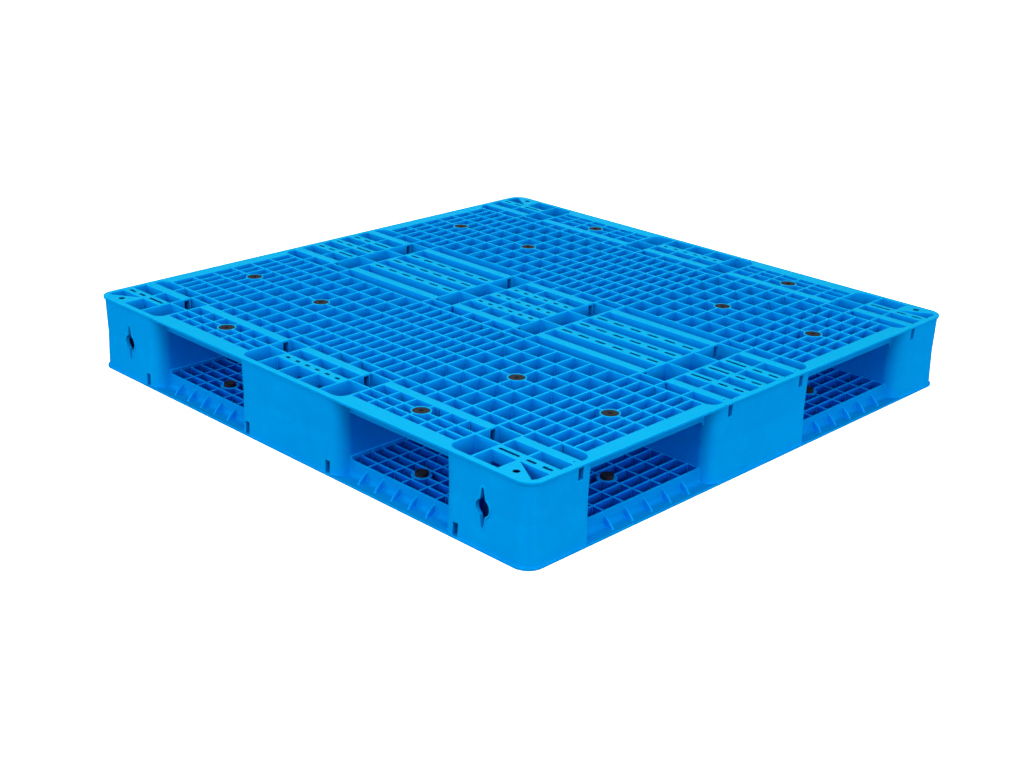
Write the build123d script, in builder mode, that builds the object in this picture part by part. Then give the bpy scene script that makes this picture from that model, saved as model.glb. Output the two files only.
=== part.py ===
from build123d import *
from math import atan2, degrees, sqrt
import os

# Reversible four-way plastic pallet. Two injection-moulded halves, each a ribbed deck with nine
# hollow half blocks, are welded together at mid height. Rubber anti-slip plugs pass through both
# decks. Origin at the centre of the underside, X and Y along the sides, +Z up. Millimetres.

# Overall size
SIDE = 1200.0  # both plan dimensions
HEIGHT = 150.0
HALF = HEIGHT / 2  # height of one moulding, from the weld plane to its deck face
CORNER_R = 31.0

# Sections
DECK = 31.0  # depth of the ribbed deck
SKIN = 4.0  # closed skin of the flanges, bars and edge lip
RIB = 3.6
LIP = 2.5  # the skin stands this far out from the walls
WALL_FACE = SIDE / 2 - LIP
RIM = SIDE / 2 - 11.0  # inner face of the outer walls
BLOCK_WALL = 4.4  # block walls along the fork ways, at the deck
DRAFT = 2.0  # lean of the block walls from the skin to the weld plane
BLOCK_R = 30.0  # upright corners of the blocks beside the fork openings
ROOM_R = 20.0  # the same corners, inside
SOFFIT = HALF - DECK  # underside of a deck, from the weld plane
SHORT_RIB = 21.0  # depth of the ribs that carry slotted bars inside a block

# Bars that close part of the grid
BAR = 24.0  # slotted bar
BAR_LINES = (0.0, 51.0)  # its centre lines over the middle of the deck
EDGE_BAR = 535.0  # its centre line beside the edge
SLOT = 6.0
FLARE = 40.0  # the slots and the corner holes widen inwards, by this many degrees
WIDE_BAR = 20.0  # solid bar over a tube channel
CHANNEL = 12.0
CHANNEL_DEPTH = 24.0
CHANNEL_SKIN = 3.5
SIDE_SLIT = 3.0
POCKET = 2.2  # depth of the small upright pockets beside some rib crossings
POCKET_HEIGHT = 14.0
POCKET_SHIFT = 4.3  # from the rib's centre line to the pocket's
DOT = 4.0

# Anti-slip plugs
BOSS = 36.0
PLUG_HEAD = 31.0
HEAD_DEPTH = 9.0
PLUG_TAIL = 23.5
TAIL_REACH = 7.0  # the tail stands this far out inside the fork way
PLUG_SINK = 0.3  # the plug's face lies this far under the deck face
DIMPLE = 9.0

# Arched brackets and the fillet under the flanges over the fork openings
HOLLOW = 1 - sqrt(0.5)  # a quarter circle
ARCHED = 0.57
BRACKET_REACH = 20.0
BRACKET_DROP = 19.0
FLANGE_FILLET = 9.0
RIB_END_REACH = 10.0  # small brackets where the ribs meet the block walls
RIB_END_DROP = 7.0
LEDGE = 1.5  # the block walls step out by this much where those brackets end

# Keyhole openings in the two Y faces
KEYHOLE_X = 495.0
KEYHOLE_R = 15.0
KEYHOLE_LENGTH = 70.0
KEYHOLE_RIM = 3.0
KEYHOLE_RIM_FACE = 597.0

# Plan of each moulding, for one quarter. u runs along the bars and v across them: X and Y on
# the upper deck, Y and X on the lower one. Ribs are given by their centre lines, and pockets by
# the v of a wall's face and the ribs that meet it there.
FORK_X = (187.8, 230.1, 272.5, 314.8, 357.1)
FORK_Y = (197.5, 247.0, 296.0, 345.0, 394.0)
UPPER = {
    "block_u": (145.5, 399.5),
    "block_v": (148.0, 444.0),
    "edge_u": 569.5,
    "edge_v": 566.5,
    "fork_u": FORK_X,
    "fork_v": FORK_Y,
    "centre_u": (29.0, 57.0, 85.5, 115.5),
    "side_u": (429.8, 460.3, 490.3, 520.5, 545.0),
    "side_v": (523.0, 548.0),
    "wide_v": (104.5, 484.75),
    "cross_u": (28.5, 86.5, 460.3, 520.5),
    "block_rib_v": (),
    "deep_v": (39.0, 116.0, 472.0, 523.0),
    "slots_centre": ((13.8, 12.0), (41.5, 12.0), (69.2, 12.0)),
    "slots_side": ((490.5, 46.0), (538.5, 21.0), (573.0, 21.0)),
    "slots_fork": ((166.7, 26.0), (209.0, 26.0), (251.5, 26.0), (294.0, 26.0), (336.0, 26.0), (378.0, 26.0)),
    "pockets": (
        (148.0, (28.5, 86.5, 460.3, 520.5)),
        (392.2, (143.7, 230.1, 314.8, 401.3)),
        (444.0, (143.7, 230.1, 314.8, 401.3)),
        (447.6, (28.5, 520.5)),
        (494.75, (187.8, 357.1)),
    ),
    "plugs": ((272.5, 523.0), (490.3, 296.0), (272.5, 296.0)),
    "corner_hole": (547.0, 577.0),
    "keyhole_face": (Plane.XZ, -1),
}
LOWER = {
    "block_u": (148.0, 444.0),
    "block_v": (145.5, 399.5),
    "edge_u": 566.5,
    "edge_v": 569.5,
    "fork_u": FORK_Y,
    "fork_v": FORK_X,
    "centre_u": (29.6, 59.2, 88.8, 118.4),
    "side_u": (471.5, 497.0, 521.0, 545.0),
    "side_v": (464.0, 491.0, 520.5, 546.0),
    "wide_v": (114.5, 435.0),
    "cross_u": (29.6, 88.8, 503.0, 546.0),
    "block_rib_v": (491.0,),
    "deep_v": (39.0, 127.0, 422.0, 491.0),
    "slots_centre": ((14.0, 12.0), (43.0, 12.0), (71.5, 12.0)),
    "slots_side": ((524.5, 28.0), (567.0, 28.0)),
    "slots_fork": ((172.7, 28.0), (222.3, 28.0), (271.5, 28.0), (320.5, 28.0), (369.5, 28.0), (419.0, 28.0)),
    "pockets": (
        (145.5, (29.6, 88.8, 503.0, 546.0)),
        (403.1, (29.6, 546.0)),
        (445.0, (247.0, 345.0)),
    ),
    "plugs": ((521.0, 272.5), (296.0, 491.0), (296.0, 272.5)),
    "corner_hole": (560.0, 577.0),
    "keyhole_face": (Plane.YZ, 1),
}


def spans(start, ribs, stop):
    """Open spans left between ribs, given by their centre lines, from start to stop."""
    edges = [start]
    for rib in ribs:
        edges += [rib - RIB / 2, rib + RIB / 2]
    edges.append(stop)
    return list(zip(edges[::2], edges[1::2]))


def grid(u_spans, v_spans):
    """Draw one rectangle for every pairing of the two lists of spans, equal ones together."""
    centres = {}
    for u_low, u_high in u_spans:
        for v_low, v_high in v_spans:
            size = (round(u_high - u_low, 3), round(v_high - v_low, 3))
            centres.setdefault(size, []).append(((u_low + u_high) / 2, (v_low + v_high) / 2))
    for size, places in centres.items():
        with Locations(*places):
            Rectangle(*size)


def outer_corners(sketch, reach):
    """Corners on the outer sides of a quarter plan, without those on its planes of symmetry."""
    return [v for v in sketch.vertices() if abs(max(v.X, v.Y) - reach) < 0.01 and min(v.X, v.Y) > 0.01]


def moulding(plan):
    """One half of the pallet, deck face up, with its weld plane at z = 0."""
    u_in, u_out = plan["block_u"]
    v_in, v_out = plan["block_v"]
    wide_low = [v - WIDE_BAR / 2 for v in plan["wide_v"]]
    wide_high = [v + WIDE_BAR / 2 for v in plan["wide_v"]]
    cross_1, cross_2, cross_3, cross_4 = plan["cross_u"]
    deep_1, deep_2, deep_3, deep_4 = plan["deep_v"]

    # Columns of cells, along u
    centre_cells = spans(0, (cross_1,), cross_2 - RIB / 2)
    side_cells = spans(cross_3 + RIB / 2, (cross_4,), RIM)
    deep_cells = [(cross_2 + RIB / 2, u_in - BLOCK_WALL), (u_out + BLOCK_WALL, cross_3 - RIB / 2)]
    fork_cells = spans(u_in, plan["fork_u"], u_out)
    fine_cells = (
        spans(RIB / 2, plan["centre_u"], u_in - RIB)
        + fork_cells
        + spans(u_out + RIB, plan["side_u"], plan["edge_u"])
    )

    # Rows of cells, along v
    middle_rows = [
        (BAR / 2, BAR_LINES[1] - BAR / 2),
        (BAR_LINES[1] + BAR / 2, wide_low[0]),
        (wide_high[0], v_in - RIB),
    ]
    tail_rows = spans(wide_high[1], plan["block_rib_v"], EDGE_BAR - BAR / 2)
    edge_rows = [(v_out + RIB, wide_low[1])] + tail_rows + [(EDGE_BAR + BAR / 2, RIM)]
    deep_rows = spans(0, (deep_1, deep_2), v_in - RIB) + spans(v_out + RIB, (deep_3, deep_4), RIM)
    fork_rows = [(v_out + RIB, wide_low[1])] + spans(wide_high[1], plan["side_v"], plan["edge_v"])

    # Inside of the hollow blocks
    with BuildSketch() as rooms:
        grid(
            [(0, u_in - BLOCK_WALL), (u_out + BLOCK_WALL, RIM)],
            [(0, v_in - BLOCK_WALL), (v_out + BLOCK_WALL, RIM)],
        )
        fillet(outer_corners(rooms, RIM), ROOM_R)

    # Arched brackets and a fillet between the flanges and the set-back walls over the openings,
    # and small brackets where the ribs meet the block walls inside the fork ways
    back_u = plan["edge_u"] + RIB
    back_v = plan["edge_v"] + RIB
    flange = HALF - SKIN
    with BuildPart() as brackets:
        for u in plan["fork_u"]:
            with BuildSketch(Plane.YZ.offset(u)):
                bracket(back_v, back_v + BRACKET_REACH, flange, flange - BRACKET_DROP, ARCHED)
            extrude(amount=RIB / 2, both=True)
        for v in plan["fork_v"]:
            with BuildSketch(Plane.XZ.offset(-v)):
                bracket(back_u, back_u + BRACKET_REACH, flange, flange - BRACKET_DROP, ARCHED)
            extrude(amount=RIB / 2, both=True)
        with BuildSketch(Plane.YZ.offset(u_in - 3.5)):
            bracket(back_v, back_v + FLANGE_FILLET, flange, flange - FLANGE_FILLET, HOLLOW)
        extrude(amount=u_out - u_in + 7)
        with BuildSketch(Plane.XZ.offset(3.5 - v_in)):
            bracket(back_u, back_u + FLANGE_FILLET, flange, flange - FLANGE_FILLET, HOLLOW)
        extrude(amount=v_in - v_out - 7)
        for u in (0.0,) + plan["centre_u"] + plan["side_u"] + (back_u - RIB / 2,):
            with BuildSketch(Plane.YZ.offset(u)):
                bracket(v_in, v_in + RIB_END_REACH, SOFFIT, SOFFIT - RIB_END_DROP, HOLLOW)
                bracket(v_out, v_out - RIB_END_REACH, SOFFIT, SOFFIT - RIB_END_DROP, HOLLOW)
            extrude(amount=RIB / 2, both=(u > 0))
        with BuildSketch(Plane.XY.offset(SOFFIT - RIB_END_DROP)):
            grid([(0, u_in), (u_out, back_u)], [(v_in - 2, v_in + LEDGE), (v_out - LEDGE, v_out + 2)])
        extrude(amount=RIB_END_DROP)

    with BuildPart() as half:
        # Blocks that narrow towards the weld plane, and the deck
        with BuildSketch(Plane.XY.offset(flange)) as blocks:
            grid([(-u_in, u_in), (u_out, WALL_FACE)], [(-v_in, v_in), (v_out, WALL_FACE)])
            fillet(outer_corners(blocks, WALL_FACE), BLOCK_R)
        extrude(amount=-flange, taper=degrees(atan2(DRAFT, flange)))
        with BuildSketch():
            Rectangle(SIDE, SIDE, align=Align.MIN)
        extrude(amount=HALF, mode=Mode.INTERSECT)
        with BuildSketch(Plane.XY.offset(SOFFIT)):
            grid([(0, back_u)], [(0, back_v)])
        extrude(amount=DECK - SKIN)

        # Skin over everything, standing out as a lip
        with BuildSketch(Plane.XY.offset(flange)):
            RectangleRounded(SIDE, SIDE, CORNER_R)
            with Locations((SIDE / 2, SIDE / 2)):
                Rectangle(SIDE, SIDE, mode=Mode.INTERSECT)
        extrude(amount=SKIN)

        # Open grid over the fork ways
        with BuildSketch(Plane.XY.offset(HALF)):
            grid(fine_cells, spans(v_in, plan["fork_v"], v_out))
            grid(fork_cells, fork_rows)
            grid([(u_in, u_out)], middle_rows)
        extrude(amount=-DECK, mode=Mode.SUBTRACT)

        # Open cells over the blocks, the deep ones down to the weld plane
        with BuildSketch(Plane.XY.offset(HALF)):
            grid(centre_cells + side_cells, middle_rows + edge_rows)
            add(rooms.sketch, mode=Mode.INTERSECT)
        extrude(amount=-DECK, mode=Mode.SUBTRACT)
        with BuildSketch(Plane.XY.offset(HALF)):
            grid(deep_cells, deep_rows)
            add(rooms.sketch, mode=Mode.INTERSECT)
        extrude(amount=-HALF, mode=Mode.SUBTRACT)

        # Rooms under the shallow cells, higher where only slotted bars cross them
        with BuildSketch():
            grid(centre_cells + side_cells, [(0, v_in), (v_out, RIM)])
            add(rooms.sketch, mode=Mode.INTERSECT)
        extrude(amount=SOFFIT, mode=Mode.SUBTRACT)
        with BuildSketch(Plane.XY.offset(SOFFIT)):
            low_rows = [(0, wide_low[0]), (wide_high[0], v_in)]
            low_rows += [(v_out, wide_low[1]), (wide_high[1], RIM)]
            grid(centre_cells + side_cells, low_rows)
            add(rooms.sketch, mode=Mode.INTERSECT)
        extrude(amount=DECK - SHORT_RIB, mode=Mode.SUBTRACT)

        # Hollows under the slotted bars
        with BuildSketch(Plane.XY.offset(SOFFIT)):
            inner = BAR / 2 - RIB
            bar_rows = [(BAR_LINES[0], inner), (BAR_LINES[1] - inner, BAR_LINES[1] + inner)]
            grid(centre_cells + side_cells + [(u_in, u_out)], bar_rows)
            grid(centre_cells + side_cells, [(EDGE_BAR - inner, EDGE_BAR + inner)])
        extrude(amount=DECK - SKIN, mode=Mode.SUBTRACT)

        # Closed half of each corner cell, with its round hole and a rib along the diagonal
        corner = (cross_4 + RIB / 2, EDGE_BAR + BAR / 2)
        with BuildSketch(Plane.XY.offset(flange)):
            with BuildLine():
                Polyline(corner, (corner[0], RIM), (RIM, RIM), close=True)
            make_face()
        extrude(amount=SKIN)
        with BuildSketch(Plane.XY.offset(SOFFIT)):
            with BuildLine():
                Line(corner, (RIM - 4, RIM - 4))
            trace(line_width=RIB)
        extrude(amount=DECK)
        with BuildSketch(Plane.XY.offset(HALF)):
            with Locations(plan["corner_hole"]):
                Circle(6.2)
        extrude(amount=-SKIN, taper=-FLARE, mode=Mode.SUBTRACT)

        # Slots in the bars, and a dot at the outer end of each wide bar
        with BuildSketch(Plane.XY.offset(HALF)):
            for v in BAR_LINES + (EDGE_BAR,):
                fork = () if v == EDGE_BAR else plan["slots_fork"]
                for u, length in plan["slots_centre"] + fork + plan["slots_side"]:
                    with Locations((u, v)):
                        SlotOverall(length, SLOT)
        extrude(amount=-SKIN, taper=-FLARE, mode=Mode.SUBTRACT)
        with BuildSketch(Plane.XY.offset(HALF)):
            for v in plan["wide_v"]:
                with Locations((582, v)):
                    Circle(DOT / 2)
        extrude(amount=-SKIN, mode=Mode.SUBTRACT)

        # Bosses of the anti-slip plugs, with a wider seat for the plug's head
        with BuildSketch(Plane.XY.offset(SOFFIT)):
            with Locations(*plan["plugs"]):
                Circle(BOSS / 2)
        extrude(amount=DECK)
        for bore, depth in ((PLUG_HEAD, HEAD_DEPTH), (PLUG_TAIL, DECK)):
            with BuildSketch(Plane.XY.offset(HALF)):
                with Locations(*plan["plugs"]):
                    Circle(bore / 2)
            extrude(amount=-depth, mode=Mode.SUBTRACT)

        # Tube channels under the wide bars, open at both ends
        with BuildSketch(Plane.YZ):
            for v in plan["wide_v"]:
                with Locations((v, HALF - CHANNEL_SKIN - CHANNEL_DEPTH / 2)):
                    Rectangle(CHANNEL, CHANNEL_DEPTH)
        extrude(amount=SIDE / 2, mode=Mode.SUBTRACT)

        # Slits beside the channels in the walls of the deep cells
        with BuildSketch(Plane.XY.offset(HALF - CHANNEL_SKIN)):
            for v in (plan["wide_v"][0] + CHANNEL / 2 + 4, plan["wide_v"][1] - CHANNEL / 2 - 4):
                with Locations((cross_2, v), (cross_3, v)):
                    Rectangle(3 * RIB, SIDE_SLIT)
            with Locations((plan["fork_u"][2] + 13, plan["wide_v"][1] + WIDE_BAR / 2 - 1)):
                Rectangle(3, 2.5 * RIB)
        extrude(amount=-SHORT_RIB, mode=Mode.SUBTRACT)

        # Small upright pockets in the walls, on both sides of some rib crossings
        with BuildSketch(Plane.XY.offset(HALF - CHANNEL_SKIN)):
            for v, ribs in plan["pockets"]:
                for u in ribs:
                    with Locations((u - POCKET_SHIFT, v), (u + POCKET_SHIFT, v)):
                        Rectangle(SIDE_SLIT, 2 * POCKET)
        extrude(amount=-POCKET_HEIGHT, mode=Mode.SUBTRACT)

        add(brackets.part)
        # Keyhole in one face, with a rim that stands out from the leaning wall
        plane, way = plan["keyhole_face"]
        with BuildSketch(plane.offset(way * RIM)):
            keyhole(KEYHOLE_RIM)
        extrude(amount=way * (KEYHOLE_RIM_FACE - RIM))
        with BuildSketch(plane.offset(way * (RIM - 1))):
            keyhole(0)
        extrude(amount=way * (SIDE / 2 - RIM), mode=Mode.SUBTRACT)

        mirror(about=Plane.XZ)
        mirror(about=Plane.YZ)
    return half.part


def bracket(wall, tip, top, foot, bulge):
    """Profile of a bracket under a flat and against a wall.

    The middle of its edge stands out from the wall and down from the flat by a share, bulge, of
    the bracket: 0.5 is straight, more is arched out and less is hollow.
    """
    inside = wall - 2 if tip > wall else wall + 2
    middle = (wall + (tip - wall) * bulge, top + (foot - top) * bulge)
    with BuildLine() as outline:
        Polyline((wall, foot), (inside, foot), (inside, top + 1), (tip, top + 1), (tip, top))
        ThreePointArc((tip, top), middle, (wall, foot))
    make_face(outline.edges())


def keyhole(grow):
    """Upper half of a round hole with a tapering slit above and below, grown outwards by an amount."""
    reach = KEYHOLE_LENGTH / 2 - 2.5
    near = 9.0 + grow
    far = 2.5 + grow
    with Locations((KEYHOLE_X, 0)):
        Circle(KEYHOLE_R + grow)
        Polygon((near, 0), (far, reach), (-far, reach), (-near, 0), align=None)
    with Locations((KEYHOLE_X, reach)):
        Circle(far)
    with Locations((KEYHOLE_X, HALF / 2)):
        Rectangle(2 * HALF, HALF, mode=Mode.INTERSECT)


def plug_places(plan):
    """All twelve plug centres of one moulding, in its own u and v."""
    return [(a * u, b * v) for u, v in plan["plugs"] for a in (-1, 1) for b in (-1, 1)]


os.makedirs("parts", exist_ok=True)

# Upper moulding, z 75 to 150, with its bars along X
with BuildPart() as upper_deck:
    with Locations((0, 0, HALF)):
        add(moulding(UPPER))
upper_deck.part.label = "upper_deck"
export_step(upper_deck.part, "parts/upper_deck.step")

# Lower moulding, z 0 to 75, turned over so that its bars run along Y
with BuildPart() as lower_deck:
    with Locations((0, 0, HALF)):
        add(moulding(LOWER).rotate(Axis((0, 0, 0), (1, 1, 0)), 180))
lower_deck.part.label = "lower_deck"
export_step(lower_deck.part, "parts/lower_deck.step")

# One rubber plug, its head seated in the boss and its tail standing out inside the fork way
with BuildPart() as plug:
    with BuildSketch(Plane.XY.offset(HEIGHT - DECK - TAIL_REACH)):
        Circle(PLUG_TAIL / 2)
    extrude(amount=DECK + TAIL_REACH - HEAD_DEPTH)
    with BuildSketch(Plane.XY.offset(HEIGHT - HEAD_DEPTH)):
        Circle(PLUG_HEAD / 2)
    extrude(amount=HEAD_DEPTH - PLUG_SINK)
    chamfer(plug.edges().sort_by(Axis.Z)[0], 1.2)
    chamfer(plug.edges().sort_by(Axis.Z)[-1], 1.2)
    with BuildSketch(Plane.XY.offset(HEIGHT - PLUG_SINK)):
        Circle(DIMPLE / 2)
    extrude(amount=-2, taper=30, mode=Mode.SUBTRACT)

for number, (x, y) in enumerate(plug_places(UPPER), 1):
    with BuildPart() as upper_plug:
        with Locations((x, y, 0)):
            add(plug.part)
    upper_plug.part.label = f"upper_plug_{number:02d}"
    export_step(upper_plug.part, f"parts/upper_plug_{number:02d}.step")

for number, (y, x) in enumerate(plug_places(LOWER), 1):
    with BuildPart() as lower_plug:
        with Locations(Location((x, y, HEIGHT), (180, 0, 0))):
            add(plug.part)
    lower_plug.part.label = f"lower_plug_{number:02d}"
    export_step(lower_plug.part, f"parts/lower_plug_{number:02d}.step")
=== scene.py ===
import math

import bpy
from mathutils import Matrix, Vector

# Plastic pallet in a studio. Metres, in the frame of the CAD model: origin at the centre of the
# underside, X and Y along the sides, +Z up. The visible pieces are the CAD solids themselves. This
# script gives them their materials and adds the floor, the lamps and the camera.

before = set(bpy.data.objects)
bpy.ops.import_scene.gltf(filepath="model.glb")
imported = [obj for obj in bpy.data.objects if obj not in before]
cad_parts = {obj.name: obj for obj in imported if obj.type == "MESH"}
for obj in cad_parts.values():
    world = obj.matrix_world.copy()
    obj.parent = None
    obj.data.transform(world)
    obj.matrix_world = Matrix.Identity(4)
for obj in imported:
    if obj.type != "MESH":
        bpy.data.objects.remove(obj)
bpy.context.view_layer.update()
scene = bpy.context.scene
scene.view_settings.view_transform = "Standard"

# ---------------------------------------------------------------- sizes

HALF_SIDE = 0.600
JOINT_HEIGHT = 0.075  # the upper and lower mouldings meet here, at mid height
DECK_DEPTH = 0.031  # of the ribs, from a deck's face
SETBACK = 0.570  # least distance of the set-back walls over the openings from the middle

FLOOR_SIZE = 30.0
BOX_DISTANCE = 3.2  # from the middle of the pallet to each softbox
BOX_WIDTH = 1.6
BOX_HEIGHT = 1.2
BOX_AIM = (0.0, 0.0, 0.08)

CAMERA_PLACE = (2.0278, -2.1268, 1.1424)
CAMERA_TURN = (1.193128, -0.027009, 0.778299)
SENSOR_WIDTH = 36.0  # millimetres, as is the focal length
FOCAL_LENGTH = 54.44

# ---------------------------------------------------------------- colours

BLUE = (0.0, 0.285, 0.745, 1.0)
BLUE_DEEP = (0.0, 0.260, 0.700, 1.0)
BLUE_PALE = (0.0, 0.400, 0.880, 1.0)
# Edges: partly wear, partly a painted highlight
BLUE_EDGE = (0.0, 0.500, 0.950, 1.0)
# Painted sheen on the deck faces
BLUE_DECK_SHEEN = (0.0, 0.410, 0.750, 1.0)
# Painted shade on the ledges and other inner level faces
BLUE_LEDGE_SHADE = (0.0, 0.240, 0.620, 1.0)
# Painted shade where other faces are close by
BLUE_OCCLUDED_SHADE = (0.0, 0.190, 0.740, 1.0)
# Painted shade on the walls inside the fork ways
BLUE_FORK_WAY_SHADE = (0.0, 0.165, 0.680, 1.0)
# Painted highlight on the rib tops inside the fork ways
BLUE_RIB_TOP_HIGHLIGHT = (0.0, 0.320, 0.980, 1.0)
# Painted shade on the walls of the lower deck's cells
BLUE_LOW_CELL_SHADE = (0.0, 0.090, 0.620, 1.0)
# Painted shade on the set-back walls under the flanges
BLUE_UNDER_FLANGE_SHADE = (0.0, 0.215, 0.630, 1.0)
# Painted shade, near black, in the narrowest hollows
BLUE_HOLLOW_SHADE = (0.0, 0.015, 0.090, 1.0)
BLUE_SHEEN = (0.05, 0.70, 1.0, 1.0)
RUBBER_BLACK = (0.006, 0.007, 0.011, 1.0)
RUBBER_DUSTY = (0.018, 0.021, 0.032, 1.0)
PAPER_WHITE = (0.92, 0.92, 0.92, 1.0)
PAPER_SHADE = (0.90, 0.90, 0.90, 1.0)
WHITE = (1.0, 1.0, 1.0, 1.0)
BLACK = (0.0, 0.0, 0.0, 1.0)

# ---------------------------------------------------------------- shader nodes


class Tree:
    """A new material, with short ways to add nodes and wire them together."""

    # A Mix node's inputs A and B and its result, by the kind of value that it mixes
    MIX_SOCKETS = {"FLOAT": (2, 3, 0), "VECTOR": (4, 5, 1), "RGBA": (6, 7, 2)}

    def __init__(self, name):
        self.material = bpy.data.materials.new(name)
        self.material.use_nodes = True
        self.nodes = self.material.node_tree.nodes
        self.links = self.material.node_tree.links
        self.shader = self.nodes["Principled BSDF"]

    def feed(self, socket, value):
        """Links a socket to another node's output, or sets it to a constant."""
        if isinstance(value, bpy.types.NodeSocket):
            self.links.new(value, socket)
        else:
            socket.default_value = value

    def add(self, kind, **inputs):
        """Adds a node and feeds the inputs named. An underscore stands for a space."""
        node = self.nodes.new(kind)
        for name, value in inputs.items():
            self.feed(node.inputs[name.replace("_", " ")], value)
        return node

    def surface(self, output):
        """Something that the Geometry node knows of the surface, such as Position."""
        return self.add("ShaderNodeNewGeometry").outputs[output]

    def components(self, vector):
        """X, Y and Z of a vector, as outputs with those names."""
        return self.add("ShaderNodeSeparateXYZ", Vector=vector).outputs

    def noise(self, place, cells, detail=2.0, roughness=0.5, stretch=None):
        """Noise from 0 to 1 at a number of cells per metre, finer along an axis where stretched."""
        if stretch is not None:
            place = self.add("ShaderNodeMapping", Vector=place, Scale=stretch).outputs["Vector"]
        node = self.add("ShaderNodeTexNoise", Vector=place, Scale=cells, Detail=detail, Roughness=roughness)
        return node.outputs["Fac"]

    def ramp(self, value, start, end, at_start=0.0, at_end=1.0):
        """Goes smoothly from at_start to at_end as a value goes from start to end, and no further."""
        node = self.add("ShaderNodeMapRange", Value=value)
        node.interpolation_type = "SMOOTHSTEP"
        node.inputs["From Min"].default_value = start
        node.inputs["From Max"].default_value = end
        node.inputs["To Min"].default_value = at_start
        node.inputs["To Max"].default_value = at_end
        return node.outputs["Result"]

    def math(self, operation, a, b=0.5):
        """One operation on one or two numbers."""
        node = self.nodes.new("ShaderNodeMath")
        node.operation = operation
        self.feed(node.inputs[0], a)
        self.feed(node.inputs[1], b)
        return node.outputs["Value"]

    def mix(self, factor, a, b, kind="RGBA"):
        """Mixes two colours, or two vectors or numbers: a where the factor is 0, b where it is 1."""
        node = self.nodes.new("ShaderNodeMix")
        node.data_type = kind
        first, second, result = self.MIX_SOCKETS[kind]
        self.feed(node.inputs["Factor"], factor)
        self.feed(node.inputs[first], a)
        self.feed(node.inputs[second], b)
        return node.outputs[result]

    def bump(self, height, distance, strength, normal):
        """Adds relief, of a height in metres, to a normal."""
        node = self.add("ShaderNodeBump", Strength=strength, Distance=distance, Height=height, Normal=normal)
        return node.outputs["Normal"]


# ---------------------------------------------------------------- masks


def plan_reach(tree, place):
    """Distance from the middle of the plan, measured square: HALF_SIDE all along the outline."""
    return tree.math(
        "MAXIMUM",
        tree.math("ABSOLUTE", place["X"]),
        tree.math("ABSOLUTE", place["Y"]),
    )


def from_joint(tree, place):
    """Distance above or below the joint between the mouldings."""
    return tree.math("ABSOLUTE", tree.math("SUBTRACT", place["Z"], JOINT_HEIGHT))


def outwardness(tree, place, normal):
    """1 where a surface faces straight out of the pallet's nearer side, and -1 straight in."""
    out_x = tree.math("MULTIPLY", normal["X"], tree.math("SIGN", place["X"]))
    out_y = tree.math("MULTIPLY", normal["Y"], tree.math("SIGN", place["Y"]))
    near_x_side = tree.math(
        "GREATER_THAN",
        tree.math("ABSOLUTE", place["X"]),
        tree.math("ABSOLUTE", place["Y"]),
    )
    return tree.mix(near_x_side, out_y, out_x, "FLOAT")


def inside_fork_ways(tree, place):
    """Faces inside the fork ways, for their painted shade and highlights."""
    inward = tree.ramp(plan_reach(tree, place), HALF_SIDE - 0.008, HALF_SIDE - 0.040)
    between_decks = tree.ramp(from_joint(tree, place), JOINT_HEIGHT - 0.017, JOINT_HEIGHT - 0.035)
    return tree.math("MULTIPLY", inward, between_decks)


def low_cells(tree, place):
    """The lower deck inside its outer walls, below the tops of its ribs."""
    inward = tree.ramp(plan_reach(tree, place), SETBACK - 0.001, SETBACK - 0.004)
    low = tree.ramp(place["Z"], DECK_DEPTH + 0.003, DECK_DEPTH - 0.002)
    return tree.math("MULTIPLY", inward, low)


def under_flanges(tree, place, normal):
    """The set-back walls over and under the openings, fading out along their fillets."""
    reach = plan_reach(tree, place)
    set_back = tree.math(
        "MULTIPLY",
        tree.ramp(reach, SETBACK - 0.001, SETBACK),
        tree.ramp(reach, SETBACK + 0.024, SETBACK + 0.004),
    )
    faces_out = tree.ramp(outwardness(tree, place, normal), 0.05, 0.30)
    return tree.math("MULTIPLY", faces_out, set_back)


def soft_edges(tree, place, radius):
    """Normal rounded off along the edges, and a mask that is 1 on them and 0 on flat faces.

    Nothing is rounded at the joint, where the two mouldings are flush.
    """
    bevel = tree.add("ShaderNodeBevel", Radius=radius)
    bevel.samples = 6
    flat = tree.surface("True Normal")
    turn = tree.nodes.new("ShaderNodeVectorMath")
    turn.operation = "DOT_PRODUCT"
    tree.feed(turn.inputs[0], bevel.outputs["Normal"])
    tree.feed(turn.inputs[1], flat)
    edges = tree.ramp(turn.outputs["Value"], 0.99, 0.80)
    off_joint = tree.math("GREATER_THAN", from_joint(tree, place), 1.5 * radius)
    rounded = tree.mix(off_joint, flat, bevel.outputs["Normal"], "VECTOR")
    return rounded, tree.math("MULTIPLY", edges, off_joint)


# ---------------------------------------------------------------- materials


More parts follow.
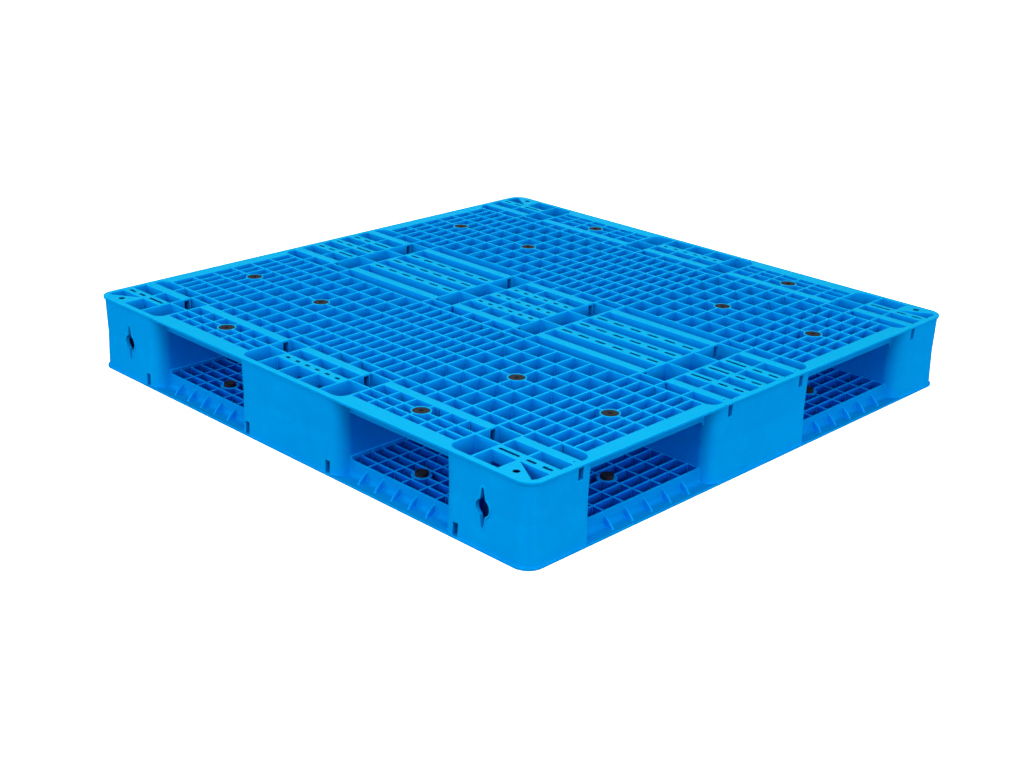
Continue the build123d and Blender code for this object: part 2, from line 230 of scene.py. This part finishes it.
def moulding_colour(tree, place, normal, flow, mottle):
    """Base blue by place: painted sheen on the deck faces, painted shade and highlights within."""
    colour = tree.mix(tree.ramp(flow, 0.35, 0.65), BLUE, BLUE_DEEP)
    colour = tree.mix(tree.ramp(mottle, 0.45, 0.75, at_end=0.15), colour, BLUE_PALE)

    # Level faces: a painted sheen on the two deck faces, painted shade on the ledges inside the skin
    level = tree.ramp(tree.math("ABSOLUTE", normal["Z"]), 0.90, 0.99)
    deck_face = tree.ramp(from_joint(tree, place), JOINT_HEIGHT - 0.0025, JOINT_HEIGHT - 0.001)
    deck_sheen = tree.math("MULTIPLY", deck_face, tree.ramp(flow, 0.2, 0.8, at_start=0.8))
    colour = tree.mix(level, colour, tree.mix(deck_sheen, BLUE_LEDGE_SHADE, BLUE_DECK_SHEEN))

    # Painted shade on faces with others close by
    occlusion = tree.add("ShaderNodeAmbientOcclusion", Distance=0.06)
    occlusion.samples = 6
    openness = occlusion.outputs["AO"]
    colour = tree.mix(tree.ramp(openness, 0.10, 0.65), BLUE_OCCLUDED_SHADE, colour)

    # Painted light and shade in the fork ways, on the lower deck seen through them, and on the walls under
    # the flanges
    # Painted shade on the fork ways' walls, painted highlights on their rib tops
    fork_way_light_and_shade = tree.mix(level, BLUE_FORK_WAY_SHADE, BLUE_RIB_TOP_HIGHLIGHT)
    colour = tree.mix(inside_fork_ways(tree, place), colour, fork_way_light_and_shade)
    # Painted shade on the walls of the lower deck's cells
    upright = tree.math("SUBTRACT", 1.0, level)
    shaded_cell_walls = tree.math("MULTIPLY", low_cells(tree, place), upright)
    colour = tree.mix(shaded_cell_walls, colour, BLUE_LOW_CELL_SHADE)
    # Painted shade on the set-back walls under the flanges
    colour = tree.mix(under_flanges(tree, place, normal), colour, BLUE_UNDER_FLANGE_SHADE)

    # Painted shade, near black, in the narrowest hollows
    return tree.mix(tree.ramp(openness, 0.015, 0.14), BLUE_HOLLOW_SHADE, colour)


def moulding_material(name):
    """Satin polyolefin: flow marks, mould grain, light scuffs, worn edges with a painted highlight, painted
    sheen and shade.
    """
    tree = Tree(name)
    coords = tree.add("ShaderNodeTexCoord").outputs["Object"]
    place = tree.components(tree.surface("Position"))
    normal = tree.components(tree.surface("True Normal"))
    rounded, edges = soft_edges(tree, place, 0.0012)

    flow = tree.noise(coords, 3.5, detail=3.0, roughness=0.6)
    mottle = tree.noise(coords, 38.0, detail=3.0, roughness=0.6)
    grain = tree.noise(coords, 1500.0, roughness=0.7)
    along_y = tree.noise(coords, 60.0, detail=4.0, roughness=0.75, stretch=(14.0, 1.0, 1.0))
    along_x = tree.noise(coords, 60.0, detail=4.0, roughness=0.75, stretch=(1.0, 14.0, 1.0))
    scratches = tree.math("MAXIMUM", tree.ramp(along_y, 0.66, 0.74), tree.ramp(along_x, 0.68, 0.76))
    scuffs = tree.math("MULTIPLY", scratches, tree.ramp(flow, 0.45, 0.6))

    colour = moulding_colour(tree, place, normal, flow, mottle)
    # Paler edges, partly wear and partly a painted highlight along them
    edge_wear_and_highlight = tree.math("MULTIPLY", edges, tree.ramp(mottle, 0.3, 0.6, at_start=0.6))
    colour = tree.mix(edge_wear_and_highlight, colour, BLUE_EDGE)
    colour = tree.mix(tree.math("MULTIPLY", scuffs, 0.18), colour, BLUE_PALE)
    tree.feed(tree.shader.inputs["Base Color"], colour)

    rough = tree.ramp(mottle, 0.3, 0.7, at_start=0.40, at_end=0.50)
    rough = tree.math("ADD", rough, tree.math("MULTIPLY", scuffs, 0.12))
    tree.feed(tree.shader.inputs["Roughness"], rough)
    tree.shader.inputs["IOR"].default_value = 1.2
    tree.shader.inputs["Specular IOR Level"].default_value = 0.02
    tree.shader.inputs["Specular Tint"].default_value = BLUE_SHEEN

    sink = tree.noise(coords, 9.0, detail=1.0, roughness=0.4)
    relief = tree.bump(sink, 0.0006, 0.5, rounded)
    relief = tree.bump(grain, 0.00006, 0.5, relief)
    tree.feed(tree.shader.inputs["Normal"], relief)
    return tree.material


def rubber_material(name):
    """Matt black rubber with pale dust and a fine grain."""
    tree = Tree(name)
    coords = tree.add("ShaderNodeTexCoord").outputs["Object"]
    place = tree.components(tree.surface("Position"))
    rounded, edges = soft_edges(tree, place, 0.0008)
    dust = tree.noise(coords, 160.0, detail=4.0, roughness=0.65)
    grain = tree.noise(coords, 2600.0, roughness=0.7)

    dusty = tree.ramp(dust, 0.40, 0.70, at_start=0.1, at_end=0.75)
    colour = tree.mix(dusty, RUBBER_BLACK, RUBBER_DUSTY)
    colour = tree.mix(tree.math("MULTIPLY", edges, 0.5), colour, RUBBER_DUSTY)
    tree.feed(tree.shader.inputs["Base Color"], colour)
    rough = tree.ramp(dust, 0.3, 0.7, at_start=0.60, at_end=0.82)
    tree.feed(tree.shader.inputs["Roughness"], rough)
    tree.shader.inputs["Specular IOR Level"].default_value = 0.1
    tree.feed(tree.shader.inputs["Normal"], tree.bump(grain, 0.00012, 0.6, rounded))
    return tree.material


def paper_material(name):
    """White studio paper that glows beyond the pallet's outline, a little more further off."""
    tree = Tree(name)
    coords = tree.add("ShaderNodeTexCoord").outputs["Object"]
    tone = tree.ramp(tree.noise(coords, 0.6), 0.3, 0.7)
    tree.feed(tree.shader.inputs["Base Color"], tree.mix(tone, PAPER_SHADE, PAPER_WHITE))
    reach = plan_reach(tree, tree.components(coords))
    near = tree.ramp(reach, HALF_SIDE - 0.025, HALF_SIDE + 0.005, at_end=0.85)
    far = tree.ramp(reach, 0.7, 2.5, at_end=0.25)
    tree.feed(tree.shader.inputs["Emission Strength"], tree.math("ADD", near, far))
    tree.shader.inputs["Emission Color"].default_value = WHITE
    tree.shader.inputs["Roughness"].default_value = 0.9
    tree.shader.inputs["Specular IOR Level"].default_value = 0.1
    return tree.material


moulding = moulding_material("moulding")
rubber = rubber_material("plug_rubber")
for name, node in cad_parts.items():
    node.data.materials.clear()
    node.data.materials.append(moulding if name.endswith("_deck") else rubber)

# ---------------------------------------------------------------- stage

# The floor neither lights the pallet nor shows in its sheen
bpy.ops.mesh.primitive_plane_add(size=FLOOR_SIZE, location=(0, 0, 0))
floor = bpy.context.object
floor.name = "floor"
floor.data.materials.append(paper_material("paper"))
floor.visible_diffuse = False
floor.visible_glossy = False


def studio_world(name):
    """Dark surroundings with a bright band round the horizon, which lights the sides evenly."""
    world = bpy.data.worlds.new(name)
    world.use_nodes = True
    nodes = world.node_tree.nodes
    links = world.node_tree.links
    background = nodes["Background"]
    direction = nodes.new("ShaderNodeTexCoord")
    split = nodes.new("ShaderNodeSeparateXYZ")
    height = nodes.new("ShaderNodeMapRange")
    height.inputs["From Min"].default_value = -0.1
    height.inputs["From Max"].default_value = 0.4
    band = nodes.new("ShaderNodeValToRGB")
    band.color_ramp.elements[0].color = BLACK
    band.color_ramp.elements[1].color = BLACK
    band.color_ramp.elements.new(0.22).color = WHITE
    links.new(direction.outputs["Generated"], split.inputs["Vector"])
    links.new(split.outputs["Z"], height.inputs["Value"])
    links.new(height.outputs["Result"], band.inputs["Fac"])
    links.new(band.outputs["Color"], background.inputs["Color"])
    background.inputs["Strength"].default_value = 2.2
    return world


def softbox(name, azimuth, elevation, watts):
    """Softbox at a bearing and an elevation in degrees, aimed at the middle of the pallet."""
    light = bpy.data.lights.new(name, "AREA")
    light.shape = "RECTANGLE"
    light.size = BOX_WIDTH
    light.size_y = BOX_HEIGHT
    light.energy = watts
    lamp = bpy.data.objects.new(name, light)
    bearing = math.radians(azimuth)
    rise = math.radians(elevation)
    lamp.location = (
        BOX_DISTANCE * math.cos(rise) * math.cos(bearing),
        BOX_DISTANCE * math.cos(rise) * math.sin(bearing),
        BOX_DISTANCE * math.sin(rise),
    )
    aim = Vector(BOX_AIM) - lamp.location
    lamp.rotation_euler = aim.to_track_quat("-Z", "Y").to_euler()
    scene.collection.objects.link(lamp)


scene.world = studio_world("studio")
softbox("back_high", azimuth=135, elevation=50, watts=57)
softbox("front_high", azimuth=-45, elevation=50, watts=38)
softbox("left_low", azimuth=-95, elevation=15, watts=12)
softbox("left_front", azimuth=-70, elevation=25, watts=19)
softbox("left_far", azimuth=-130, elevation=25, watts=29)
softbox("right_low", azimuth=0, elevation=15, watts=20)
softbox("right_front", azimuth=-20, elevation=25, watts=13)
softbox("right_far", azimuth=60, elevation=12, watts=37)

camera_data = bpy.data.cameras.new("camera")
camera_data.sensor_width = SENSOR_WIDTH
camera_data.lens = FOCAL_LENGTH
camera = bpy.data.objects.new("camera", camera_data)
camera.location = CAMERA_PLACE
camera.rotation_euler = CAMERA_TURN
scene.collection.objects.link(camera)
scene.camera = camera
